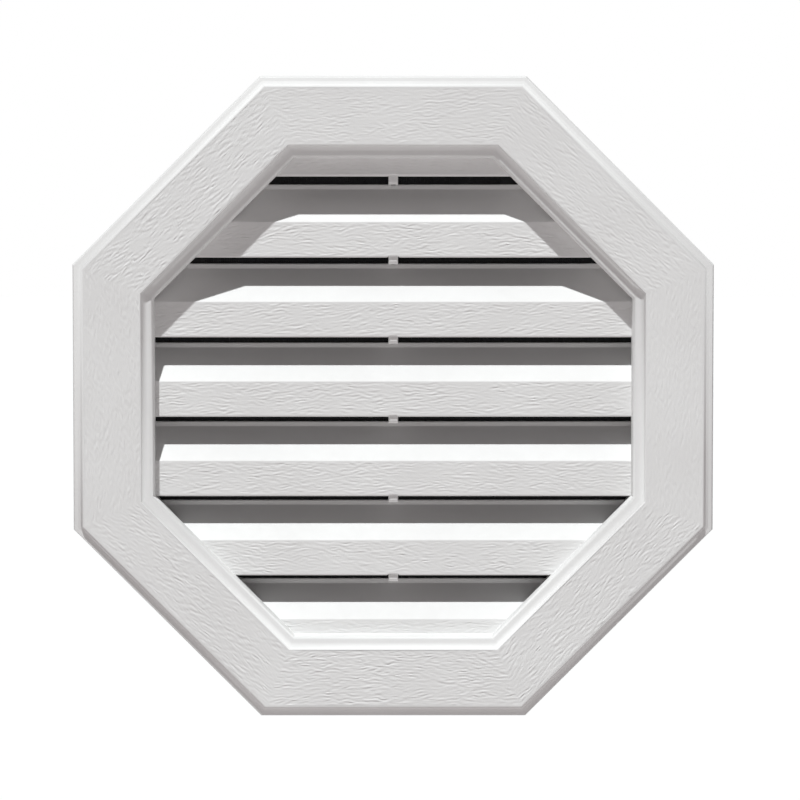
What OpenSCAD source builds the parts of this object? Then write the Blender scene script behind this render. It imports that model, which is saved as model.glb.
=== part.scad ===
// Octagonal gable vent: a moulded louvre base, a grained trim ring that snaps over its
// collar, and an insect screen staked to the back of the louvres.
// The axis of the octagon is Y. The front looks towards -Y, the wall is the plane y = 0,
// and +Z is up. All sizes are in millimetres.

/* [Trim ring] */
// Width of the ring across its flats, at its back edge
ring_w = 559; // [500:1:640]
// Height of the ring from its back edge to its grained face
ring_h = 23; // [21:0.5:32]
// Width of the grained face
face_w = 50.4; // [44:0.2:60]
// Wall of the moulded ring
ring_wall = 2.4; // [1.8:0.1:3]
// Drop from the face to the lip around it
step_drop = 6; // [4:0.5:8]
// Lean of the short wall between the face and the lip
step_run = 2.8; // [1.5:0.1:4]
// Width of the flat lip
lip_w = 4.5; // [3:0.1:7]
// Draft of the outer wall behind the lip
outer_draft = 2.6; // [1:0.1:4]
// Width of the cove between the face and the skirt
cove_w = 8.1; // [7.4:0.1:9]
// Depth of the cove below the face
cove_depth = 7.8; // [6.5:0.1:9]
// Radius of the cove
cove_radius = 5.6; // [5.4:0.1:6]
// Distance from the face to the end of the cove's arc
cove_low = 5.2; // [4.8:0.1:5.3]
// Width of the flat at the bottom of the cove
cove_flat = 0.6; // [0.2:0.1:1]
// Rise of the cove's floor from the flat to the seam
cove_rise = 0.8; // [0.2:0.1:1.2]
// Height of the stiffening ribs under the face
rib_h = 7.6; // [4:0.2:10]
// Thickness of the stiffening ribs
rib_t = 1.8; // [1.2:0.1:2.4]
// Distance between the stiffening ribs
rib_pitch = 58; // [40:1:70]

/* [Collar and flange] */
// Wall of the collar that carries the louvres
collar_wall = 2.8; // [2:0.1:4]
// How far the collar stands in front of the cove's edge
rim_proud = 0.4; // [0.2:0.1:1.5]
// How far the collar reaches into the wall opening
collar_back = 30; // [30:0.5:40]
// Thickness of the nailing flange
flange_t = 2.5; // [2:0.1:4]
// How far the flange stays inside the ring's back edge
flange_inset = 17.5; // [12:0.5:24]
// Height of the bead on the flange's outer edge
bead_h = 1.6; // [0.5:0.1:3]
// Width of the bead on the flange's outer edge
bead_w = 2; // [1:0.1:4]
// Distance of the screw holes from the flange's outer edge
screw_inset = 17; // [10:0.5:24]
// Diameter of the screw holes
screw_hole_d = 5; // [3:0.1:6]
// Length of the nailing slots
slot_l = 18; // [8:1:30]
// Distance of the nailing slots from the middle of each side
slot_offset = 52; // [30:1:70]

/* [Louvres] */
// Height from one louvre to the next
louvre_pitch = 69.5; // [66:0.5:76]
// Height of the grained fascia of each louvre
fascia_h = 31; // [26:0.5:36]
// Height of the upright lip at the back of each louvre
upstand_h = 4.3; // [4:0.1:7]
// Open height between a fascia and the upright lip of the louvre below it
sight_gap = 5.2; // [4:0.1:8]
// Depth of the sloping part of each louvre
slope_run = 27; // [22:0.5:27]
// Wall of the louvres
louvre_wall = 2.4; // [1.8:0.1:2.6]
// How far the fascias stand in front of the wall
fascia_front = 2; // [2:0.2:6]
// Height of the lowest fascia that shows above the collar
lowest_show = 13.2; // [8:0.2:20]
// Least height of the topmost fascia that shows below the collar
topmost_show = 8; // [6:0.5:14]
// Extra height of the gap under the topmost fascia
top_gap_extra = 1; // [0:0.1:2]
// Rise of the sill in front of the lowest fascia
sill_rise = 2.4; // [1:0.1:4]

/* [Centre web] */
// Width of the web that ties the louvres together
web_w = 8.4; // [7:0.1:14]
// Wall of the web, which is hollow from the back
web_wall = 2; // [1.4:0.1:2.4]
// Rounding of the web's front edges
web_round = 1.2; // [0.6:0.1:1.6]
// Height of the notch over the web in each fascia's bottom edge
web_notch = 1.2; // [0.6:0.1:2]

/* [Snap barbs] */
// Length of each barb along its side
barb_l = 16; // [10:1:24]
// How far each barb stands out of the collar
barb_out = 1.8; // [1:0.1:2]
// Length of the barb's ramp
barb_ramp = 5; // [3:0.5:6]
// Distance of the barb's catch from the ring's back edge
barb_seat = 6.2; // [4:0.1:7]
// Distance of the barbs from the middle of each side
barb_offset = 48; // [30:1:60]
// Clearance between the ring and the base
ring_gap = 0.3; // [0.2:0.05:0.6]

/* [Insect screen] */
// Thickness of each of the screen's two layers of threads
thread_t = 0.6; // [0.4:0.05:0.7]
// Width of the screen's threads
thread_w = 7; // [5:0.5:9]
// Width of the screen's hem
hem_w = 6; // [3:0.5:10]
// Clearance between the screen and the collar
screen_gap = 0.4; // [0.2:0.1:1]
// Diameter of the pins that hold the screen
stake_d = 3; // [2:0.1:3.4]
// Clearance round each pin
stake_gap = 0.3; // [0.1:0.05:0.5]
// Diameter of the pins' melted heads
head_d = 6; // [4.5:0.1:7]
// Height of the pins' melted heads
head_h = 0.9; // [0.6:0.1:1]
// Distance of the pins from the middle of the vent
stake_x = 80; // [60:1:95]

/* [Hidden] */
$fn = 48;
SIDES = 8;
half_corner = 180 / SIDES;
over = 1;
bond = 0.4;

ring_r = ring_w / 2;
lip_r = ring_r - outer_draft;
step_r = lip_r - lip_w;
face_outer_r = step_r - step_run;
face_inner_r = face_outer_r - face_w;
skirt_inner_r = face_inner_r - cove_w;
skirt_outer_r = skirt_inner_r + ring_wall;
ring_back_y = -flange_t;
face_y = ring_back_y - ring_h;
lip_y = face_y + step_drop;
cove_y = face_y + cove_depth;
cove_axis_r = face_inner_r - cove_low;
cove_axis_y = cove_y - cove_radius;
cove_floor_r = cove_axis_r - cove_flat;
cove_slope = cove_rise / (cove_floor_r - skirt_inner_r);
seam_y = cove_y - cove_rise;

rim_y = seam_y - rim_proud;
collar_outer_r = skirt_inner_r - ring_gap;
collar_inner_r = collar_outer_r - collar_wall;
flange_r = ring_r - flange_inset;
screw_r = flange_r - screw_inset;

slope_rise = louvre_pitch - fascia_h - upstand_h - sight_gap;
slope_angle = atan(slope_rise / slope_run);
edge_r = louvre_wall / 2;
fascia_y = -fascia_front;
fascia_back_y = fascia_y + louvre_wall;
upstand_y = fascia_y + slope_run;
louvre_back_y = upstand_y + louvre_wall;
lowest_top_z = lowest_show - collar_inner_r;
louvre_run = 2 * collar_inner_r - lowest_show + fascia_h - topmost_show;
last_louvre = floor(louvre_run / louvre_pitch);
louvre_cut_r = collar_inner_r + collar_wall / 2;

barb_y = ring_back_y - barb_seat;
screen_r = collar_inner_r - screen_gap;
screen_t = 2 * thread_t - bond / 2;
mesh_x = stake_x / 2;
mesh_z = louvre_pitch / 2;

trim_white = [0.93, 0.93, 0.92];
base_white = [0.9, 0.9, 0.89];
screen_black = [0.13, 0.13, 0.14];

// Half the length of an octagon's side at a distance from its axis
function half_side(apothem) = apothem * tan(half_corner);

// Height of a louvre's fascia top, counted up from the lowest louvre
function fascia_top(k) = lowest_top_z + k * louvre_pitch;

// Height of a louvre's fascia bottom; the topmost one ends a little higher
function fascia_bottom(k) = fascia_top(k) - fascia_h + (k == last_louvre ? top_gap_extra : 0);

// Top of the upright lip at the back of a louvre
function upstand_top(k) = fascia_top(k) + slope_rise + upstand_h;

// Underside of a louvre's slope at a depth
function slope_under(k, y) =
    fascia_top(k) + (y - fascia_y) * tan(slope_angle) - louvre_wall / cos(slope_angle);

// Solid octagon round the Y axis between two depths
module octagon_prism(apothem, front_y, back_y) {
    translate([0, back_y, 0])
        rotate([90, 0, 0])
            rotate([0, 0, half_corner])
                cylinder(r = apothem / cos(half_corner), h = back_y - front_y, $fn = SIDES);
}

// Octagonal frame between two distances from the axis
module octagon_frame(inner_r, outer_r, front_y, back_y) {
    difference() {
        octagon_prism(outer_r, front_y, back_y);
        octagon_prism(inner_r, front_y - over, back_y + over);
    }
}

// Repeats a child that is drawn for the +X side on each of the eight sides
module on_each_side() {
    for (side = [0 : SIDES - 1])
        rotate([0, side * 360 / SIDES, 0])
            children();
}

// Solid octagon whose width changes with depth. The child is the section of one side,
// drawn from far behind the axis out to the surface: x is the distance from the axis,
// y the depth.
module octagon_solid() {
    intersection_for(side = [0 : SIDES - 1])
        rotate([0, side * 360 / SIDES, 0])
            linear_extrude(height = 2 * ring_w, center = true)
                children();
}

// Band of such a section between two depths
module section_band(reach, front_y, back_y) {
    translate([-ring_w, front_y])
        square([ring_w + reach, back_y - front_y]);
}

// Extrudes an outline in the Y-Z plane to both sides of the middle
module across(width) {
    rotate([90, 0, 90])
        linear_extrude(height = width, center = true)
            children();
}

// A round bar along +Y from a depth on
module bar_y(d, from_y, length) {
    translate([0, from_y, 0])
        rotate([-90, 0, 0])
            cylinder(d = d, h = length);
}

// Outside of the ring: outer wall, lip, short leaning wall and face
module ring_outside() {
    octagon_solid()
        polygon([
            [-ring_w, ring_back_y],
            [ring_r, ring_back_y],
            [lip_r, lip_y],
            [step_r, lip_y],
            [face_outer_r, face_y],
            [-ring_w, face_y]
        ]);
}

// Hollow behind the face, between the outer wall and the skirt
module ring_hollow() {
    difference() {
        octagon_solid()
            polygon([
                [-ring_w, ring_back_y + over],
                [ring_r - ring_wall, ring_back_y + over],
                [ring_r - ring_wall, ring_back_y],
                [lip_r - ring_wall, lip_y + ring_wall],
                [step_r - ring_wall, lip_y + ring_wall],
                [face_outer_r - ring_wall / 2, face_y + ring_wall],
                [-ring_w, face_y + ring_wall]
            ]);
        octagon_prism(face_inner_r + ring_wall, face_y, cove_y + ring_wall);
        octagon_prism(skirt_outer_r, face_y, ring_back_y + 2 * over);
    }
}

// Cove between the face and the skirt: a steep wall, an arc and a floor that rises
// to the seam with the collar
module ring_cove() {
    difference() {
        octagon_solid()
            intersection() {
                section_band(face_inner_r, face_y - over, cove_y);
                union() {
                    section_band(face_inner_r, face_y - over, cove_axis_y);
                    section_band(cove_axis_r, face_y - over, cove_y);
                    translate([cove_axis_r, cove_axis_y])
                        circle(r = cove_radius);
                }
            }
        octagon_solid()
            polygon([
                [-ring_w, seam_y - over * cove_slope],
                [skirt_inner_r - over, seam_y - over * cove_slope],
                [cove_floor_r, cove_y],
                [cove_floor_r, cove_y + over],
                [-ring_w, cove_y + over]
            ]);
    }
}

// Stiffening ribs under the face of one side
module side_ribs() {
    rib_count = floor(half_side(face_inner_r) / rib_pitch);
    for (i = [-rib_count : rib_count])
        translate([0, 0, i * rib_pitch])
            linear_extrude(height = rib_t, center = true)
                polygon([
                    [face_inner_r + ring_wall / 2, face_y + ring_wall / 2],
                    [face_outer_r - ring_wall / 2, face_y + ring_wall / 2],
                    [step_r - ring_wall / 2, lip_y + ring_wall / 2],
                    [step_r - ring_wall / 2, face_y + ring_wall + rib_h],
                    [face_inner_r + ring_wall / 2, face_y + ring_wall + rib_h]
                ]);
}

// The windows in one side's skirt that the barbs snap into
module side_windows() {
    for (s = [-1, 1])
        translate([
            skirt_inner_r - over,
            barb_y - barb_ramp - ring_gap,
            s * barb_offset - barb_l / 2 - ring_gap
        ])
            cube([ring_wall + 2 * over, barb_ramp + 2 * ring_gap, barb_l + 2 * ring_gap]);
}

module trim_ring() {
    color(trim_white)
        difference() {
            union() {
                difference() {
                    ring_outside();
                    ring_hollow();
                }
                on_each_side()
                    side_ribs();
            }
            ring_cove();
            octagon_prism(skirt_inner_r, face_y - over, ring_back_y + over);
            on_each_side()
                side_windows();
        }
}

// The barbs on one side of the collar, with a ramp in front and a catch behind
module side_barbs() {
    for (s = [-1, 1])
        translate([0, 0, s * barb_offset])
            linear_extrude(height = barb_l, center = true)
                polygon([
                    [collar_outer_r - bond, barb_y - barb_ramp],
                    [collar_outer_r, barb_y - barb_ramp],
                    [collar_outer_r + barb_out, barb_y - barb_out / 2],
                    [collar_outer_r + barb_out, barb_y],
                    [collar_outer_r - bond, barb_y]
                ]);
}

// The screw hole and the two nailing slots of one side
module side_holes() {
    slot_reach = (slot_l - screw_hole_d) / 2;
    translate([screw_r, 0, 0]) {
        bar_y(screw_hole_d, -flange_t - over, flange_t + 2 * over);
        for (s = [-1, 1], t = [-1, 1])
            translate([0, 0, s * slot_offset + t * slot_reach])
                bar_y(screw_hole_d, -flange_t - over, flange_t + 2 * over);
        for (s = [-1, 1])
            translate([-screw_hole_d / 2, -flange_t - over, s * slot_offset - slot_reach])
                cube([screw_hole_d, flange_t + 2 * over, 2 * slot_reach]);
    }
}

module flange() {
    difference() {
        union() {
            octagon_frame(louvre_cut_r, flange_r, -flange_t, 0);
            octagon_frame(flange_r - bead_w, flange_r, -flange_t - bead_h, -flange_t / 2);
        }
        on_each_side()
            side_holes();
    }
}

// Section of one louvre: grained fascia, slope and upright lip, with round edges
module louvre_section(k) {
    low = fascia_bottom(k) + edge_r;
    high = upstand_top(k) - edge_r;
    polygon([
        [fascia_y, low],
        [fascia_y, fascia_top(k)],
        [upstand_y, fascia_top(k) + slope_rise],
        [upstand_y, high],
        [louvre_back_y, high],
        [louvre_back_y, slope_under(k, louvre_back_y)],
        [fascia_back_y, slope_under(k, fascia_back_y)],
        [fascia_back_y, low]
    ]);
    translate([fascia_y + edge_r, low])
        circle(r = edge_r);
    translate([upstand_y + edge_r, high])
        circle(r = edge_r);
}

// Side view of the web behind one louvre, down to the upright lip of the louvre below
module web_section(k) {
    low = k == 0 ? -collar_outer_r : upstand_top(k - 1) - edge_r;
    polygon([
        [fascia_back_y - bond, low],
        [louvre_back_y, low],
        [louvre_back_y, slope_under(k, louvre_back_y) + bond],
        [fascia_back_y - bond, slope_under(k, fascia_back_y - bond) + bond]
    ]);
}

// Plan of the web: a channel with round front edges, open at the back
module web_plan() {
    front_y = fascia_back_y - bond;
    difference() {
        union() {
            translate([-web_w / 2, front_y + web_round])
                square([web_w, louvre_back_y - front_y - web_round]);
            translate([-web_w / 2 + web_round, front_y])
                square([web_w - 2 * web_round, 2 * web_round]);
            for (s = [-1, 1])
                translate([s * (web_w / 2 - web_round), front_y + web_round])
                    circle(r = web_round);
        }
        translate([-web_w / 2 + web_wall, front_y + web_wall])
            square([web_w - 2 * web_wall, louvre_back_y]);
    }
}

module centre_web() {
    intersection() {
        linear_extrude(height = 2 * collar_outer_r, center = true)
            web_plan();
        for (k = [0 : last_louvre])
            across(web_w + 2 * over)
                web_section(k);
    }
}

// Sill that sheds water over the collar in front of the lowest fascia
module sill() {
    across(2 * collar_outer_r)
        polygon([
            [fascia_y + bond, -louvre_cut_r],
            [fascia_y + bond, sill_rise - collar_inner_r],
            [rim_y + collar_wall / 2, -collar_inner_r],
            [rim_y + collar_wall / 2, -louvre_cut_r]
        ]);
}

// Pins at the back of the louvres, with the heads that hold the screen
module stakes() {
    for (k = [0 : last_louvre - 1], s = [-1, 1])
        translate([s * stake_x, 0, upstand_top(k) - upstand_h / 2]) {
            bar_y(stake_d, louvre_back_y - edge_r, edge_r + screen_t + head_h / 2);
            translate([0, louvre_back_y + screen_t, 0])
                rotate([-90, 0, 0])
                    cylinder(d1 = head_d, d2 = stake_d, h = head_h);
        }
}

module louver_base() {
    color(base_white)
        union() {
            octagon_frame(collar_inner_r, collar_outer_r, rim_y, collar_back);
            flange();
            on_each_side()
                side_barbs();
            intersection() {
                octagon_prism(louvre_cut_r, rim_y, collar_back);
                union() {
                    difference() {
                        for (k = [0 : last_louvre])
                            across(2 * ring_r)
                                louvre_section(k);
                        for (k = [1 : last_louvre])
                            translate([-web_w / 2, fascia_y - over, fascia_bottom(k) - over])
                                cube([web_w, louvre_wall + over, web_notch + over]);
                    }
                    centre_web();
                    sill();
                }
            }
            stakes();
        }
}

// One layer of the screen's threads, cut to the octagon
module thread_layer(front_y) {
    intersection() {
        octagon_prism(screen_r, front_y, front_y + thread_t);
        translate([0, front_y, 0])
            children();
    }
}

module insect_screen() {
    columns = ceil(screen_r / mesh_x);
    rows = ceil(2 * screen_r / mesh_z);
    lowest_row_z = upstand_top(0) - upstand_h / 2 - 2 * mesh_z;
    back_layer_y = louvre_back_y + screen_t - thread_t;
    color(screen_black)
        difference() {
            union() {
                octagon_frame(screen_r - hem_w, screen_r, louvre_back_y, louvre_back_y + screen_t);
                thread_layer(louvre_back_y)
                    for (i = [-columns : columns])
                        translate([i * mesh_x - thread_w / 2, 0, -screen_r])
                            cube([thread_w, thread_t, 2 * screen_r]);
                thread_layer(back_layer_y)
                    for (i = [0 : rows])
                        translate([-screen_r, 0, lowest_row_z + i * mesh_z - thread_w / 2])
                            cube([2 * screen_r, thread_t, thread_w]);
            }
            for (k = [0 : last_louvre - 1], s = [-1, 1])
                translate([s * stake_x, 0, upstand_top(k) - upstand_h / 2])
                    bar_y(stake_d + 2 * stake_gap, louvre_back_y - over, screen_t + 2 * over);
        }
}

louver_base();
trim_ring();
insect_screen();
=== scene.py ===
"""Octagonal gable vent with sloping louvres, a grained trim ring and a woven insect screen."""
import math

import bmesh
import bpy
import numpy as np
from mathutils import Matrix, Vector
from mathutils.geometry import delaunay_2d_cdt


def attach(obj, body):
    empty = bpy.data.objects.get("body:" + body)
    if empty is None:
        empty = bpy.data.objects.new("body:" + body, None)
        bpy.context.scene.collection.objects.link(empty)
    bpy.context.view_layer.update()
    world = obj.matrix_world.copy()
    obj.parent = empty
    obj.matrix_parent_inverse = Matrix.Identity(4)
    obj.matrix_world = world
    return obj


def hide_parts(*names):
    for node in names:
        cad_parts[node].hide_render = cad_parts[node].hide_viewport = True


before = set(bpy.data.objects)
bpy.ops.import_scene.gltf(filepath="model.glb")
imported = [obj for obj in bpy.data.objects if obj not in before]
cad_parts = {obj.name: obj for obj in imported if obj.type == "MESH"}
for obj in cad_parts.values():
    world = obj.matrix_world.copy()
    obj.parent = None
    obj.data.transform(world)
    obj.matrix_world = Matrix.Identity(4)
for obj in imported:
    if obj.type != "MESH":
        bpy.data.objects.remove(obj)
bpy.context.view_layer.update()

# All lengths below are millimetres until a mesh is made.
MM = 0.001
SIDES = 8
HALF_CORNER = math.radians(180 / SIDES)
TAN_HALF = math.tan(HALF_CORNER)

# Trim ring
RING_R, LIP_R, STEP_R = 279.5, 276.9, 272.4
FACE_OUT, FACE_IN, SKIRT_IN, SKIRT_OUT = 269.6, 219.2, 211.1, 213.5
RING_BACK, FACE_Y, LIP_Y, COVE_Y, SEAM_Y = -2.5, -25.5, -19.5, -17.7, -18.5
COVE_R, COVE_AXIS_R, COVE_FLOOR_R = 5.6, 214.0, 213.4
RING_WALL, RIB_T, RIB_H, RIB_PITCH = 2.4, 1.8, 7.6, 58.0
WINDOW_FRONT, WINDOW_BACK, WINDOW_HALF, BARB_OFFSET = -14.0, -8.4, 8.3, 48.0

# Louvre base
COLLAR_IN, COLLAR_OUT, RIM_Y, COLLAR_BACK = 208.0, 210.8, -18.9, 30.0
FLANGE_R, FLANGE_T, SCREW_R, HOLE_R = 262.0, 2.5, 245.0, 2.5
SLOT_OFFSET, SLOT_REACH = 52.0, 6.5
BEAD_W, BEAD_H = 2.0, 1.6
PITCH, FASCIA_H, UPSTAND_H, SLOPE_RISE, SLOPE_RUN = 69.5, 31.0, 4.3, 29.0, 27.0
WALL, FASCIA_Y, LAST = 2.4, -2.0, 6
UPSTAND_Y = FASCIA_Y + SLOPE_RUN
BACK_Y = UPSTAND_Y + WALL
FASCIA_BACK = FASCIA_Y + WALL
SLOPE = math.atan2(SLOPE_RISE, SLOPE_RUN)
LOWEST_TOP = 13.2 - COLLAR_IN
WEB_HALF, WEB_WALL, WEB_ROUND, WEB_NOTCH = 4.2, 2.0, 1.2, 1.2
WEB_EASE, WEB_EASE_UP, WEB_LIFT = 3.6, 3.2, 0.6
SILL_RISE = 0.6
BARB_Y, BARB_RAMP, BARB_OUT, BARB_HALF = -8.7, 5.0, 1.8, 8.0
SCREEN_R, SCREEN_T, STAKE_X, STAKE_D, HEAD_D, HEAD_H = 207.6, 1.0, 80.0, 3.0, 6.0, 0.9


# Noise and grain
_tables = {}


def noise(x, y, seed):
    """Smooth seeded noise from -1 to 1."""
    if seed not in _tables:
        _tables[seed] = np.random.default_rng(seed).uniform(-1, 1, (256, 256))
    t = _tables[seed]
    xi, yi = np.floor(x).astype(int), np.floor(y).astype(int)
    fx, fy = x - xi, y - yi
    fx = fx ** 3 * (fx * (fx * 6 - 15) + 10)
    fy = fy ** 3 * (fy * (fy * 6 - 15) + 10)
    x0, x1, y0, y1 = xi & 255, (xi + 1) & 255, yi & 255, (yi + 1) & 255
    low = t[x0, y0] * (1 - fx) + t[x1, y0] * fx
    high = t[x0, y1] * (1 - fx) + t[x1, y1] * fx
    return low * (1 - fy) + high * fy


def smoothstep(low, high, x):
    t = np.clip((x - low) / (high - low), 0, 1)
    return t * t * (3 - 2 * t)


def blurred(field, sigma):
    """A Gaussian blur that wraps round at the edges."""
    rows, columns = field.shape
    fy, fx = np.fft.fftfreq(rows)[:, None], np.fft.rfftfreq(columns)[None, :]
    keep = np.exp(-2 * (math.pi * sigma) ** 2 * (fx * fx + fy * fy))
    return np.fft.irfft2(np.fft.rfft2(field) * keep, s=field.shape)


def between(field, x, y):
    """Values of a grid at places between its points."""
    x = np.clip(x, 0, field.shape[1] - 1.001)
    y = np.clip(y, 0, field.shape[0] - 1.001)
    xi, yi = x.astype(int), y.astype(int)
    fx, fy = x - xi, y - yi
    near = field[yi, xi] * (1 - fx) + field[yi, xi + 1] * fx
    far = field[yi + 1, xi] * (1 - fx) + field[yi + 1, xi + 1] * fx
    return near * (1 - fy) + far * fy


GRAIN_CELL, GRAIN_PERIOD, STROKE_HALF, STROKE_STEP = 0.4, 2.7, 1.6, 0.6


class WoodGrain:
    """Embossed wood grain for a board: seeded speckle, drawn out into short strokes along a
    wavering direction. Its heights average 0 and spread by 1."""

    def __init__(self, width, height, lean, seed):
        self.width, self.height = width, height
        rows, columns = int(height / GRAIN_CELL) + 2, int(width / GRAIN_CELL) + 2
        speckle = np.random.default_rng(seed).standard_normal((rows, columns))
        period = GRAIN_PERIOD / GRAIN_CELL
        speckle = blurred(speckle, 0.18 * period) - blurred(speckle, 0.3 * period)
        column, row = np.meshgrid(np.arange(columns, dtype=float), np.arange(rows, dtype=float))
        u, v = column * GRAIN_CELL, row * GRAIN_CELL
        waver = 16 * noise(u / 36 + 3, v / 12 + 7, seed + 1)
        waver += 42 * noise(u / 5, v / 2.6, seed + 2)
        angle = np.radians(lean + waver)
        run, rise = np.cos(angle), np.sin(angle)
        speckle *= 0.3 + 1.26 * smoothstep(-0.5, 0.5, noise(u / 4 + 1, v / 1.8, seed + 5))
        strokes = speckle.copy()
        for way in (STROKE_STEP / GRAIN_CELL, -STROKE_STEP / GRAIN_CELL):
            x, y = column, row
            for k in range(1, int(2.4 * STROKE_HALF / STROKE_STEP) + 1):
                x, y = x + way * between(run, x, y), y + way * between(rise, x, y)
                fade = math.exp(-0.5 * (k * STROKE_STEP / STROKE_HALF) ** 2)
                strokes += fade * between(speckle, x, y)
        strokes /= strokes.std()
        strokes /= np.sqrt(1 + (strokes / 1.4) ** 2)
        smooth = smoothstep(-0.75, -0.1, noise(u / 16 + 9, v / 8 + 5, seed + 4))
        strokes *= 0.35 + 0.65 * smooth
        self.field = strokes / strokes.std()

    def height_at(self, u, v):
        """Height at places counted in millimetres from the board's middle."""
        x = (np.asarray(u, float) + self.width / 2) / GRAIN_CELL
        y = (np.asarray(v, float) + self.height / 2) / GRAIN_CELL
        return between(self.field, x, y)


# Mesh helpers
class Shell:
    """Gathers closed shells, in millimetres, and makes one mesh object of them."""

    def __init__(self):
        self.verts, self.faces, self.count = [], [], 0

    def add(self, verts, faces):
        base = self.count
        verts = np.asarray(verts, float).reshape(-1, 3)
        self.verts.append(verts)
        self.faces.extend([[base + i for i in f] for f in faces])
        self.count += len(verts)

    def loft(self, loops, segments, closed):
        """Skins successive loops of points. A loop may have more points in each of its segments
        than its neighbour has. Closed loops go round, and open ones are capped at their ends."""
        starts = np.cumsum([0] + [len(p) for p in loops])
        faces = []

        def part(loop, k):
            n = len(loops[loop])
            per = n // segments if closed else (n - 1) // segments
            return [int(starts[loop] + (k * per + j) % n) for j in range(per + 1)]

        for i in range(len(loops)):
            j = (i + 1) % len(loops)
            for k in range(segments):
                a, b = part(i, k), part(j, k)
                if len(a) == len(b):
                    faces += [[a[m], a[m + 1], b[m + 1], b[m]] for m in range(len(a) - 1)]
                else:
                    faces.append(a + b[::-1])
        if not closed:
            faces.append([int(starts[i]) for i in range(len(loops))])
            faces.append([int(starts[i + 1]) - 1 for i in range(len(loops))][::-1])
        self.add(np.concatenate(loops), faces)

    def prism(self, *outlines):
        """Skins two or more matching outlines and caps the first and the last."""
        n, last = len(outlines[0]), len(outlines) - 1
        faces = [[j * n + i, j * n + (i + 1) % n, (j + 1) * n + (i + 1) % n, (j + 1) * n + i]
                 for j in range(last) for i in range(n)]
        faces += [list(range(n))[::-1], list(range(last * n, last * n + n))]
        self.add(np.concatenate([np.asarray(o, float) for o in outlines]), faces)

    def make(self, name, sharp_deg=38):
        mesh = bpy.data.meshes.new(name)
        mesh.from_pydata((np.concatenate(self.verts) * MM).tolist(), [], self.faces)
        bm = bmesh.new()
        bm.from_mesh(mesh)
        bmesh.ops.recalc_face_normals(bm, faces=bm.faces)
        bm.to_mesh(mesh)
        bm.free()
        mesh.polygons.foreach_set("use_smooth", [True] * len(mesh.polygons))
        mesh.set_sharp_from_angle(angle=math.radians(sharp_deg))
        obj = bpy.data.objects.new(name, mesh)
        bpy.context.scene.collection.objects.link(obj)
        weighted = obj.modifiers.new("flat_walls", "WEIGHTED_NORMAL")
        weighted.keep_sharp = True
        weighted.weight = 80
        return obj


def fillet(points, radii, steps=4):
    """A closed outline with its corners rounded."""
    out = []
    n = len(points)
    for i in range(n):
        p, r = np.array(points[i], float), radii[i]
        if not r:
            out.append(tuple(p))
            continue
        a = np.array(points[i - 1], float) - p
        b = np.array(points[(i + 1) % n], float) - p
        a, b = a / np.linalg.norm(a), b / np.linalg.norm(b)
        half = math.acos(np.clip(a @ b, -1, 1)) / 2
        centre = p + (a + b) / np.linalg.norm(a + b) * r / math.sin(half)
        s, e = p + a * r / math.tan(half) - centre, p + b * r / math.tan(half) - centre
        turn = math.acos(np.clip(s @ e / (r * r), -1, 1))
        for k in range(steps + 1):
            f = k / steps
            q = (math.sin((1 - f) * turn) * s + math.sin(f * turn) * e) / math.sin(turn)
            out.append(tuple(centre + q))
    return out


def side_point(side, r, along, y):
    """A point on one side of the octagon: r from its axis, along the side, y deep."""
    a = side * 2 * HALF_CORNER
    r, along = np.asarray(r, float), np.asarray(along, float)
    x = np.cos(a) * r - np.sin(a) * along
    z = np.sin(a) * r + np.cos(a) * along
    return np.stack(np.broadcast_arrays(x, np.asarray(y, float), z), axis=-1)


def octagon(r, y):
    """The eight corners of an octagon r from its axis to its sides."""
    return np.array([side_point(k, r, -r * TAN_HALF, y) for k in range(SIDES)])


def plan_prism(shell, side, outline, y0, y1):
    """Extrudes an outline of (r, along) points on one side between two depths."""
    pts = [side_point(side, r, t, y0) for r, t in outline]
    shell.prism(pts, [p + (0, y1 - y0, 0) for p in pts])


def octagon_half(r, z):
    """Half the width, at a height, of an octagon r from its axis to its sides."""
    return np.minimum(r, r * math.sqrt(2) - np.abs(z))


# Trim ring
FACE_COLUMNS, FACE_ROWS = 116, 80
# The grained face lies this far behind the CAD's, so that its peaks stay inside the CAD's box
FACE_SINK = 0.28
# How far the grain leans off each side's own direction, and how strongly it stands out, counted
# from the right-hand side round
GRAIN_LEAN = [4, -20, -2, 22, -4, -30, 1, 0]
GRAIN_SPREAD = [0.11, 0.114, 0.092, 0.165, 0.14, 0.148, 0.148, 0.155]
# The flat of the face, between its rounded edges
FACE_INNER = 218.5
FACE_OUTER = 269.2
FLAT_IN, FLAT_OUT = FACE_INNER + 0.6, FACE_OUTER - 1.2
# Lip: where its shallow outer part meets the hollow at the foot of the step
LIP_BEND, STEP_FOOT = (273.7, -20.05), (271.2, -21.5)
SEAM_GAP = 0.02
# The cove: a short steep wall from the face down to its foot, a hollow, and a nearly flat floor
COVE_FOOT, COVE_SWEEP, COVE_TILTS = (217.7, -22.65), 6.5, (60, 9)


def face_relief(grain, side, r, along):
    fade = smoothstep(0, 1, r - FLAT_IN) * smoothstep(0, 1, FLAT_OUT - r)
    # The strokes die out just short of the mitres, as they do in the mould
    fade *= smoothstep(0.2, 1.4, r * TAN_HALF - np.abs(along))
    height = grain.height_at(along, r - (FLAT_IN + FLAT_OUT) / 2)
    return np.minimum(fade * GRAIN_SPREAD[side] * height, FACE_SINK - 0.01)


def sweep(start, radius, tilts, steps):
    """A hollow arc on from a point, given how far the surface leans at its two ends."""
    a, b = (math.radians(t) for t in tilts)
    r, y = start[0] - radius * math.sin(a), start[1] - radius * math.cos(a)
    return [(r + radius * math.sin(t), y + radius * math.cos(t))
            for t in np.linspace(a, b, steps + 1)][1:]


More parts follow.
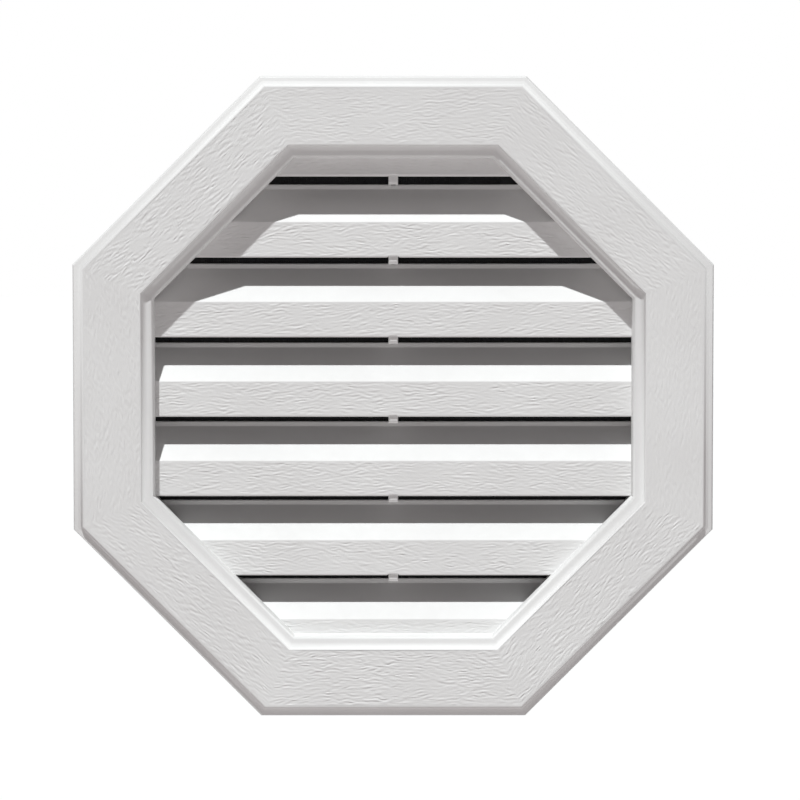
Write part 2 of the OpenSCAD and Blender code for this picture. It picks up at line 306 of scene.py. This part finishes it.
def ring():
    shell = Shell()
    face_y = FACE_Y + FACE_SINK
    seam_r = COLLAR_OUT + SEAM_GAP
    cove = [COVE_FOOT, *sweep(COVE_FOOT, COVE_SWEEP, COVE_TILTS, 10)]
    floor_r, floor_y = cove[-1]
    cove.append((seam_r, floor_y + (floor_r - seam_r) * math.tan(math.radians(COVE_TILTS[1]))))
    outline = [
        (RING_R, RING_BACK), (LIP_R, LIP_Y + 0.35), LIP_BEND, STEP_FOOT,
        (FACE_OUTER, face_y), (FACE_INNER, face_y), *cove, (seam_r, WINDOW_FRONT),
        (SKIRT_OUT, WINDOW_FRONT), (SKIRT_OUT, COVE_Y + RING_WALL),
        (FACE_IN + RING_WALL, COVE_Y + RING_WALL), (FACE_IN + RING_WALL, FACE_Y + RING_WALL),
        (FACE_OUT - RING_WALL / 2, FACE_Y + RING_WALL),
        (STEP_R - RING_WALL, LIP_Y + RING_WALL), (LIP_R - RING_WALL, LIP_Y + RING_WALL),
        (RING_R - RING_WALL, RING_BACK),
    ]
    radii = [0.4, 0.7, 2.0, 1.8, 1.8, 0.7] + [0] * (len(cove) - 1) + [0.08] + [0] * 8 + [0.4]
    section = fillet(outline, radii)
    grains = [WoodGrain(2 * FACE_OUT * TAN_HALF + 4, FACE_OUT - FACE_IN + 4, GRAIN_LEAN[k],
                        40 + 10 * k) for k in range(SIDES)]
    loops = []
    t = np.linspace(-1, 1, FACE_COLUMNS + 1)[:-1]
    for i, (r, y) in enumerate(section):
        r2, y2 = section[(i + 1) % len(section)]
        loops.append(octagon(r, y))
        if abs(r - r2) > 40 and y < FACE_Y + 1:
            for row in np.linspace(r, r2, FACE_ROWS + 1)[1:-1]:
                along = t * row * TAN_HALF
                loops.append(np.concatenate([
                    side_point(k, row, along, face_y - face_relief(grains[k], k, row, along))
                    for k in range(SIDES)
                ]))
    shell.loft(loops, SIDES, True)
    # The back end of the skirt, and the posts between the windows
    low, high = WINDOW_BACK, RING_BACK
    shell.loft([octagon(SKIRT_IN, low), octagon(SKIRT_OUT, low),
                octagon(SKIRT_OUT, high), octagon(SKIRT_IN, high)], SIDES, True)
    inner, outer = BARB_OFFSET - WINDOW_HALF, BARB_OFFSET + WINDOW_HALF
    for k in range(SIDES):
        plan_prism(shell, k, [(SKIRT_IN, -inner), (SKIRT_OUT, -inner),
                              (SKIRT_OUT, inner), (SKIRT_IN, inner)],
                   WINDOW_FRONT - 0.2, WINDOW_BACK + 0.2)
        post = [side_point(k, SKIRT_IN, outer, 0), side_point(k, SKIRT_IN, SKIRT_IN * TAN_HALF, 0),
                side_point(k + 1, SKIRT_IN, -outer, 0), side_point(k + 1, SKIRT_OUT, -outer, 0),
                side_point(k, SKIRT_OUT, SKIRT_OUT * TAN_HALF, 0),
                side_point(k, SKIRT_OUT, outer, 0)]
        shell.prism([p + (0, WINDOW_FRONT - 0.2, 0) for p in post],
                    [p + (0, WINDOW_BACK + 0.2, 0) for p in post])
        # Ribs under the face
        half = RING_WALL / 2
        rib = [(FACE_IN + half, FACE_Y + half), (FACE_OUT - half, FACE_Y + half),
               (STEP_R - half, LIP_Y + half), (STEP_R - half, FACE_Y + RING_WALL + RIB_H),
               (FACE_IN + half, FACE_Y + RING_WALL + RIB_H)]
        for i in (-1, 0, 1):
            ends = [[side_point(k, r, i * RIB_PITCH + s * RIB_T / 2, y) for r, y in rib]
                    for s in (-1, 1)]
            shell.prism(*ends)
    return shell.make("surround_ring")


# Louvre base
def fascia_top(k):
    return LOWEST_TOP + k * PITCH


def fascia_bottom(k):
    return fascia_top(k) - FASCIA_H + (1 if k == LAST else 0)


def upstand_top(k):
    return fascia_top(k) + SLOPE_RISE + UPSTAND_H


def slope_under(k, y):
    return fascia_top(k) + (y - FASCIA_Y) * math.tan(SLOPE) - WALL / math.cos(SLOPE)


FASCIA_COLUMN, FASCIA_STEP = 1.8, 0.62
FASCIA_SPREAD = 0.125
FASCIA_LEAN = [2, -7, -6, 0, 13, 2, 1]
# Behind the fascias the collar's wall is thinner, and the louvres and the screen run out to it
RECESS_R, RECESS_FRONT, RECESS_BACK = 209.95, -1.0, BACK_Y + SCREEN_T + 0.05
# The louvres end inside the collar's wall, this far from the axis
CUT_R = 210.3
# How far the lower edge of the topmost plate is cut back, and up
EDGE_CUT, EDGE_RISE = 2.0, 1.7


def louvre(shell, k):
    """One louvre: a closed section in (y, z), drawn across the collar."""
    edge = WALL / 2
    low, top = fascia_bottom(k), fascia_top(k)
    crest = upstand_top(k)

    def arc(y, z, start, end, steps):
        return [(y + edge * math.cos(a), z + edge * math.sin(a))
                for a in np.linspace(start, end, steps)]

    if k == LAST:
        top = CUT_R
        tail = [(FASCIA_BACK, CUT_R)]
        head = [(FASCIA_Y, CUT_R)]
    else:
        front = fillet([(FASCIA_Y, low), (FASCIA_Y, top), (UPSTAND_Y, top + SLOPE_RISE),
                        (UPSTAND_Y, crest), (BACK_Y, crest), (BACK_Y, low)],
                       [0, 1.3, 1.6, 0, 0, 0], 5)
        front = front[1:-3]
        head = front
        tail = arc(UPSTAND_Y + edge, crest - edge, math.pi, 0, 9)
        tail += [(BACK_Y, slope_under(k, BACK_Y))]
        tail += [(FASCIA_BACK, slope_under(k, FASCIA_BACK))]
    bottom = [(FASCIA_BACK, low + edge)]
    bottom += arc(FASCIA_Y + edge, low + edge, 0, -math.pi, 9)[1:]
    if k == 0:
        bottom = [(FASCIA_BACK, -CUT_R), (FASCIA_Y, -CUT_R)]
    if k == LAST:
        bottom = fillet([(FASCIA_BACK, top), (FASCIA_BACK, low), (FASCIA_Y + EDGE_CUT, low),
                         (FASCIA_Y, low + EDGE_RISE)], [0, 0.15, 0.15, 0], 3)[1:]
    start = bottom[-1][1]
    first_z = head[0][1]
    rows = np.linspace(start, first_z, max(2, round((first_z - start) / FASCIA_STEP)) + 1)[1:-1]
    # (y, z, fine, grained)
    section = [(y, z, k > 0, False) for y, z in bottom]
    section += [(FASCIA_Y, z, True, True) for z in rows]
    coarse = head + tail
    for i, (y, z) in enumerate(coarse):
        section.append((y, z, i == 0, False))
        nxt = coarse[i + 1] if i + 1 < len(coarse) else bottom[0]
        pieces = int(abs(nxt[1] - z) // 5)
        for j in range(1, pieces + 1):
            f = j / (pieces + 1)
            section.append((y + f * (nxt[0] - y), z + f * (nxt[1] - z), False, False))
    loops = []
    middle = (start + first_z) / 2
    widest = 2 * float(octagon_half(COLLAR_IN, min(abs(start), abs(first_z), CUT_R)))
    grain = WoodGrain(widest + 4, first_z - start + 4, FASCIA_LEAN[k], 200 + 10 * k)
    s = np.linspace(-1, 1, round(widest / FASCIA_COLUMN) + 1)
    for y, z, fine, grained in section:
        half = octagon_half(CUT_R, np.clip(z, -CUT_R, CUT_R))
        cols = s if fine else s[[0, -1]]
        x = cols * half
        ys, zs = np.full_like(x, y), np.full_like(x, z)
        if grained:
            fade = smoothstep(0, 1.2, z - start) * smoothstep(0, 1.0, first_z - z)
            ys -= FASCIA_SPREAD * fade * grain.height_at(x, z - middle)
        if k > 0 and z < low + 2.5:
            notch = np.abs(x) < WEB_HALF
            zs = np.where(notch, np.maximum(zs, low + WEB_NOTCH + 0.5 * (zs - low)), zs)
        loops.append(np.stack([x, ys, zs], axis=-1))
    shell.loft(loops, 1, False)


def flange(shell):
    """A flat octagonal plate with its screw holes and slots, filled by triangles."""
    outlines = [octagon(FLANGE_R, 0)[:, [0, 2]], octagon(CUT_R, 0)[:, [0, 2]]]
    for k in range(SIDES):
        for mid, reach in ((0, 0), (-SLOT_OFFSET, SLOT_REACH), (SLOT_OFFSET, SLOT_REACH)):
            loop = []
            for a in np.linspace(0, 2 * math.pi, 24, endpoint=False) + 1e-3:
                shift = reach * (1 if math.sin(a) > 0 else -1) if reach else 0
                loop.append(side_point(k, SCREW_R + HOLE_R * math.cos(a),
                                       mid + shift + HOLE_R * math.sin(a), 0)[[0, 2]])
            outlines.append(np.array(loop))
    flat = np.concatenate(outlines)
    loops, at = [], 0
    for o in outlines:
        loops.append(list(range(at, at + len(o))))
        at += len(o)
    edges = [(p[i], p[(i + 1) % len(p)]) for p in loops for i in range(len(p))]
    pts, _, tris, origin, _, _ = delaunay_2d_cdt(
        [Vector(p) for p in flat], edges, [], 0, 1e-6)
    keep = []
    at2 = np.array([tuple(p) for p in pts])
    for t in tris:
        c = at2[list(t)].mean(axis=0)
        angles = np.arange(SIDES) * 2 * HALF_CORNER
        reach = np.max(c[0] * np.cos(angles) + c[1] * np.sin(angles))
        side = int(np.argmax(c[0] * np.cos(angles) + c[1] * np.sin(angles)))
        along = -c[0] * math.sin(angles[side]) + c[1] * math.cos(angles[side])
        hole = False
        for mid, half in ((0, 0), (-SLOT_OFFSET, SLOT_REACH), (SLOT_OFFSET, SLOT_REACH)):
            off = max(0.0, abs(along - mid) - half)
            hole |= math.hypot(off, reach - SCREW_R) < HOLE_R * 0.995
        if CUT_R < reach < FLANGE_R and not hole:
            keep.append(list(t))
    n = len(at2)
    faces = keep + [[i + n for i in t[::-1]] for t in keep]
    for a, b in edges:
        faces.append([a, b, b + n, a + n])
    front = np.stack([at2[:, 0], np.full(n, -FLANGE_T), at2[:, 1]], axis=-1)
    shell.add(np.concatenate([front, front + (0, FLANGE_T, 0)]), faces)
    low, high = -FLANGE_T - BEAD_H, -FLANGE_T / 2
    section = fillet([(FLANGE_R, high), (FLANGE_R, low), (FLANGE_R - BEAD_W, low),
                      (FLANGE_R - BEAD_W, high)], [0, 0.6, 0.6, 0], 3)
    shell.loft([octagon(r, y) for r, y in section], SIDES, True)


def web(shell, k):
    """The channel that ties one louvre to the one below, open at the back."""
    front = FASCIA_BACK - 0.4
    floor = -COLLAR_OUT + 0.5 if k == 0 else upstand_top(k - 1) - 1.2
    outline = fillet([(-WEB_HALF, BACK_Y), (-WEB_HALF, front), (WEB_HALF, front),
                      (WEB_HALF, BACK_Y)], [0, WEB_ROUND, WEB_ROUND, 0], 5)
    inner = WEB_HALF - WEB_WALL
    outline += [(inner, BACK_Y), (inner, front + WEB_WALL), (-inner, front + WEB_WALL),
                (-inner, BACK_Y)]
    # Its foot rises a little towards the front, where the lower edge is rounded
    levels = []
    for t in np.linspace(0, math.pi / 2, 6):
        back = WEB_EASE * (1 - math.sin(t))
        z = floor + WEB_EASE_UP * (1 - math.cos(t))
        levels.append([(x, y + back if y < BACK_Y else y, z + WEB_LIFT * (1 - y / BACK_Y))
                       for x, y in outline])
    cap = CUT_R if k == LAST else None
    high = [(x, y, cap if cap else slope_under(k, y) + 0.4) for x, y in outline]
    shell.prism(*levels, high)


def revolve_y(shell, x, z, profile, steps=20):
    """A closed turned form round an axis along Y, from (radius, y) points."""
    loops = []
    for r, y in profile:
        a = np.linspace(0, 2 * math.pi, steps, endpoint=False)
        loops.append(np.stack([x + r * np.cos(a), np.full(steps, y), z + r * np.sin(a)], axis=-1))
    verts = np.concatenate(loops)
    faces = []
    for i in range(len(loops) - 1):
        for j in range(steps):
            n = (j + 1) % steps
            faces.append([i * steps + j, i * steps + n, (i + 1) * steps + n, (i + 1) * steps + j])
    faces.append(list(range(steps))[::-1])
    last = (len(loops) - 1) * steps
    faces.append([last + j for j in range(steps)])
    shell.add(verts, faces)


# The rim's inner edge is rounded over this width and depth
RIM_ROUND, RIM_DEPTH = 2.6, 4.6


def base():
    shell = Shell()
    section = fillet([(COLLAR_IN, COLLAR_BACK), (COLLAR_OUT, COLLAR_BACK), (COLLAR_OUT, RIM_Y)],
                     [0.5, 0.5, 0])
    section += [(COLLAR_IN + RIM_ROUND * (1 - math.sin(t)), RIM_Y + RIM_DEPTH * (1 - math.cos(t)))
                for t in np.linspace(0, math.pi / 2, 11)]
    section += [(COLLAR_IN, RECESS_FRONT), (RECESS_R, RECESS_FRONT), (RECESS_R, RECESS_BACK),
                (COLLAR_IN, RECESS_BACK)]
    shell.loft([octagon(r, y) for r, y in section], SIDES, True)
    flange(shell)
    for k in range(LAST + 1):
        louvre(shell, k)
        web(shell, k)
    # Sill in front of the lowest fascia
    sill = [(FASCIA_Y + 0.4, -CUT_R), (FASCIA_Y + 0.4, SILL_RISE - COLLAR_IN),
            (FASCIA_Y, SILL_RISE - COLLAR_IN), (RIM_Y + RIM_DEPTH, -COLLAR_IN),
            (RIM_Y + RIM_DEPTH, -CUT_R)]
    ends = [[(s * octagon_half(CUT_R, z), y, z) for y, z in sill] for s in (-1, 1)]
    shell.prism(*ends)
    # Snap barbs
    for k in range(SIDES):
        for mid in (-BARB_OFFSET, BARB_OFFSET):
            barb = [(COLLAR_OUT - 0.4, BARB_Y - BARB_RAMP), (COLLAR_OUT, BARB_Y - BARB_RAMP),
                    (COLLAR_OUT + BARB_OUT, BARB_Y - BARB_OUT / 2),
                    (COLLAR_OUT + BARB_OUT, BARB_Y), (COLLAR_OUT - 0.4, BARB_Y)]
            shell.prism(*[[side_point(k, r, mid + s * BARB_HALF, y) for r, y in barb]
                          for s in (-1, 1)])
    # Pins with melted heads behind the screen
    head = [(HEAD_D / 2 * math.cos(a), BACK_Y + SCREEN_T + HEAD_H * math.sin(a))
            for a in np.linspace(0, math.pi / 2, 6)[:-1]]
    for k in range(LAST):
        for x in (-STAKE_X, STAKE_X):
            z = upstand_top(k) - UPSTAND_H / 2
            revolve_y(shell, x, z, [(STAKE_D / 2, BACK_Y - 1.2),
                                    (STAKE_D / 2, BACK_Y + SCREEN_T), *head,
                                    (0.3, BACK_Y + SCREEN_T + HEAD_H)])
    return shell.make("louvred_base")


# Insect screen
THREAD_PITCH, THREAD_W = 2.0, 1.1


def screen():
    shell = Shell()
    front, back = BACK_Y, BACK_Y + SCREEN_T
    edge = RECESS_R - 0.05
    inset = edge - 0.4
    shell.loft([octagon(1.0, front + 0.3), octagon(inset, front + 0.3),
                octagon(inset, back - 0.3), octagon(1.0, back - 0.3)], SIDES, True)
    shell.loft([octagon(r, y) for r, y in fillet(
        [(edge - 8, front), (edge, front), (edge, back), (edge - 8, back)],
        [0.2, 0.2, 0.2, 0.2], 2)], SIDES, True)
    count = int((edge - 1) // THREAD_PITCH)
    for i in range(-count, count + 1):
        mid = i * THREAD_PITCH
        half = float(octagon_half(edge - 0.5, mid)) - 0.5
        w = THREAD_W / 2
        for y0, y1, upright in ((front + 0.02, front + 0.35, True), (front + 0.1, front + 0.35, False),
                                (back - 0.35, back - 0.02, False), (back - 0.35, back - 0.1, True)):
            edge_y = y0 if y0 < front + 0.5 else y1
            flat_y = y1 if y0 < front + 0.5 else y0
            for_end = []
            for e in (-half, half):
                ring_pts = [(-w, flat_y), (-w * 0.5, edge_y), (w * 0.5, edge_y), (w, flat_y)]
                for_end.append([(mid + a, y, e) if upright else (e, y, mid + a)
                                for a, y in ring_pts])
            shell.prism(*for_end)
    return shell.make("woven_screen", 30)


# Materials
def node_tree(name):
    mat = bpy.data.materials.new(name)
    mat.use_nodes = True
    nt = mat.node_tree
    return mat, nt, nt.nodes["Principled BSDF"]


def object_noise(nt, scale, detail, stretch=(1, 1, 1), rough=0.5):
    coord = nt.nodes.new("ShaderNodeTexCoord")
    mapping = nt.nodes.new("ShaderNodeMapping")
    mapping.inputs["Scale"].default_value = stretch
    tex = nt.nodes.new("ShaderNodeTexNoise")
    tex.inputs["Scale"].default_value = scale
    tex.inputs["Detail"].default_value = detail
    tex.inputs["Roughness"].default_value = rough
    nt.links.new(coord.outputs["Object"], mapping.inputs["Vector"])
    nt.links.new(mapping.outputs["Vector"], tex.inputs["Vector"])
    return tex.outputs["Fac"]


def ramp(nt, fac, stops):
    node = nt.nodes.new("ShaderNodeValToRGB")
    while len(node.color_ramp.elements) < len(stops):
        node.color_ramp.elements.new(0.5)
    for e, (pos, colour) in zip(node.color_ramp.elements, stops):
        e.position = pos
        e.color = (*colour, 1)
    nt.links.new(fac, node.inputs["Fac"])
    return node.outputs["Color"]


def moulded_white():
    mat, nt, bsdf = node_tree("moulded_white")
    tone = object_noise(nt, 14, 3)
    colour = ramp(nt, tone, [(0.3, (0.775, 0.772, 0.768)), (0.7, (0.81, 0.81, 0.806))])
    nt.links.new(colour, bsdf.inputs["Base Color"])
    rough = object_noise(nt, 160, 3)
    grey = ramp(nt, rough, [(0.35, (0.6,) * 3), (0.65, (0.72,) * 3)])
    nt.links.new(grey, bsdf.inputs["Roughness"])
    skin = object_noise(nt, 900, 4)
    bump = nt.nodes.new("ShaderNodeBump")
    bump.inputs["Strength"].default_value = 0.12
    bump.inputs["Distance"].default_value = 0.0004
    nt.links.new(skin, bump.inputs["Height"])
    nt.links.new(bump.outputs["Normal"], bsdf.inputs["Normal"])
    return mat


def screen_black():
    mat, nt, bsdf = node_tree("screen_black")
    tone = object_noise(nt, 60, 3)
    colour = ramp(nt, tone, [(0.3, (0.006, 0.006, 0.006)), (0.7, (0.012, 0.012, 0.013))])
    nt.links.new(colour, bsdf.inputs["Base Color"])
    rough = object_noise(nt, 400, 2)
    grey = ramp(nt, rough, [(0.3, (0.6,) * 3), (0.7, (0.8,) * 3)])
    nt.links.new(grey, bsdf.inputs["Roughness"])
    bsdf.inputs["Specular IOR Level"].default_value = 0.2
    return mat


# The object
white = moulded_white()
for piece, node, slot, material in (
    (ring(), "trim_ring", "white_plastic", white),
    (base(), "louver_base", "white_plastic", white),
    (screen(), "insect_screen", "screen_mesh", screen_black()),
):
    piece.data.materials.append(material)
    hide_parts(node)
    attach(piece, "root")


# Stage, light and camera
FLOOR_Z, FLOOR_HALF = -0.5, 60.0
SUN_SHARE, FILL = 1.06, 0.12
FLOOR_SEEN, FLOOR_BOUNCE = 0.965, 0.575
# The light in the shade is a little warmer than the sun
WARM, COOL = (1.0, 0.93, 0.93), (0.975, 1.0, 1.0)


def seen_directly(nt):
    """1 for rays from the camera, mirrors and clear materials, and 0 for scattered light."""
    rays = nt.nodes.new("ShaderNodeLightPath")
    total = rays.outputs["Is Camera Ray"]
    for other in ("Is Glossy Ray", "Is Transmission Ray"):
        add = nt.nodes.new("ShaderNodeMath")
        add.operation = "MAXIMUM"
        nt.links.new(total, add.inputs[0])
        nt.links.new(rays.outputs[other], add.inputs[1])
        total = add.outputs[0]
    return total


def floor_and_world():
    mesh = bpy.data.meshes.new("floor")
    corners = [(-1, -1), (1, -1), (1, 1), (-1, 1)]
    mesh.from_pydata([(x * FLOOR_HALF, y * FLOOR_HALF, FLOOR_Z) for x, y in corners], [],
                     [(0, 1, 2, 3)])
    floor = bpy.data.objects.new("floor", mesh)
    bpy.context.scene.collection.objects.link(floor)
    mat = bpy.data.materials.new("pale_floor")
    mat.use_nodes = True
    nt = mat.node_tree
    nt.nodes.remove(nt.nodes["Principled BSDF"])
    mix = nt.nodes.new("ShaderNodeMixShader")
    nt.links.new(seen_directly(nt), mix.inputs["Fac"])
    for socket, tone in ((1, [FLOOR_BOUNCE * c for c in WARM]), (2, [FLOOR_SEEN] * 3)):
        matt = nt.nodes.new("ShaderNodeBsdfDiffuse")
        matt.inputs["Color"].default_value = (*tone, 1)
        nt.links.new(matt.outputs["BSDF"], mix.inputs[socket])
    nt.links.new(mix.outputs["Shader"], nt.nodes["Material Output"].inputs["Surface"])
    mesh.materials.append(mat)

    world = bpy.data.worlds.new("studio")
    bpy.context.scene.world = world
    world.use_nodes = True
    nt = world.node_tree
    fill = nt.nodes["Background"]
    fill.inputs["Color"].default_value = (*WARM, 1)
    fill.inputs["Strength"].default_value = FILL
    plain = nt.nodes.new("ShaderNodeBackground")
    plain.inputs["Strength"].default_value = 1.0
    plain.inputs["Color"].default_value = (1, 1, 1, 1)
    mix = nt.nodes.new("ShaderNodeMixShader")
    nt.links.new(seen_directly(nt), mix.inputs["Fac"])
    nt.links.new(fill.outputs["Background"], mix.inputs[1])
    nt.links.new(plain.outputs["Background"], mix.inputs[2])
    nt.links.new(mix.outputs["Shader"], nt.nodes["World Output"].inputs["Surface"])


floor_and_world()

sun = bpy.data.objects.new("sun", bpy.data.lights.new("sun", "SUN"))
sun.data.energy = SUN_SHARE * math.pi
sun.data.angle = math.radians(1.2)
sun.data.color = COOL
sun.rotation_mode = "QUATERNION"
sun.rotation_quaternion = Vector((0.12, 0.437, -0.891)).to_track_quat("-Z", "Y")
bpy.context.scene.collection.objects.link(sun)

camera = bpy.data.objects.new("camera", bpy.data.cameras.new("camera"))
camera.data.lens = 134.1
camera.data.sensor_width = 36
camera.data.clip_start, camera.data.clip_end = 0.05, 200
camera.location = (0.0, -2.6025, 0.112)
aim = Vector((0.0059, -0.0025, -0.0026)) - camera.location
camera.rotation_mode = "QUATERNION"
camera.rotation_quaternion = aim.to_track_quat("-Z", "Y")
bpy.context.scene.collection.objects.link(camera)
bpy.context.scene.camera = camera
bpy.context.scene.view_settings.view_transform = "Standard"
